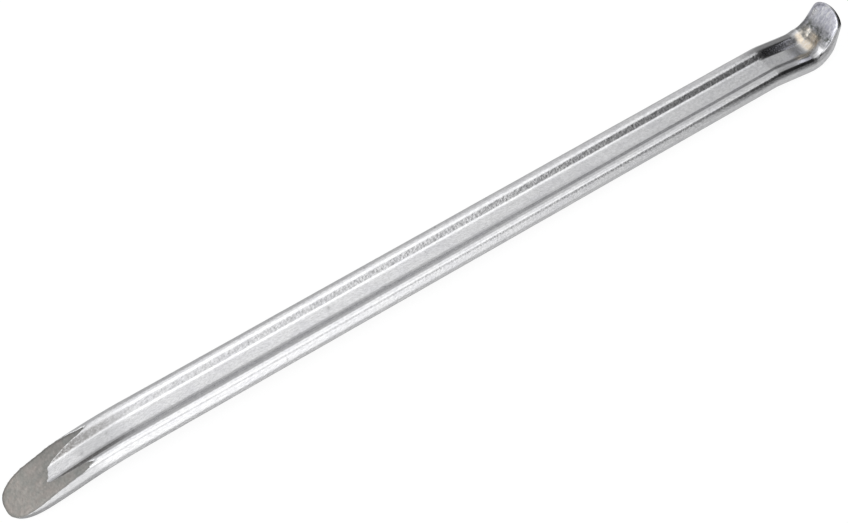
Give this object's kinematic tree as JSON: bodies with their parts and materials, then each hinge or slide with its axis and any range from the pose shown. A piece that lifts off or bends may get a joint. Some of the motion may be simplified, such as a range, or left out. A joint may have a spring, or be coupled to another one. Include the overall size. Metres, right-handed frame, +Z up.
{
  "type": "tyre lever",
  "caption": "Long forged steel tyre lever: a straight double-T bar with a broad ground spoon at one end and a short upturned hook blade at the other.",
  "frame": {"origin": "on the floor, under the middle of the lever's box", "axes": "+X along the lever from its spoon to its hook, +Y across its width, +Z up from the floor it lies on"},
  "size_m": [0.6, 0.03, 0.04],
  "materials": {
    "bright_zinc": "bright zinc plating over a forged, slightly pitted skin, with the spoon's top ground matt grey and the hook's blade dressed in fine lines before plating"
  },
  "bodies": {
    "root": {"tyre_lever": "bright_zinc"}
  },
  "joints": []
}
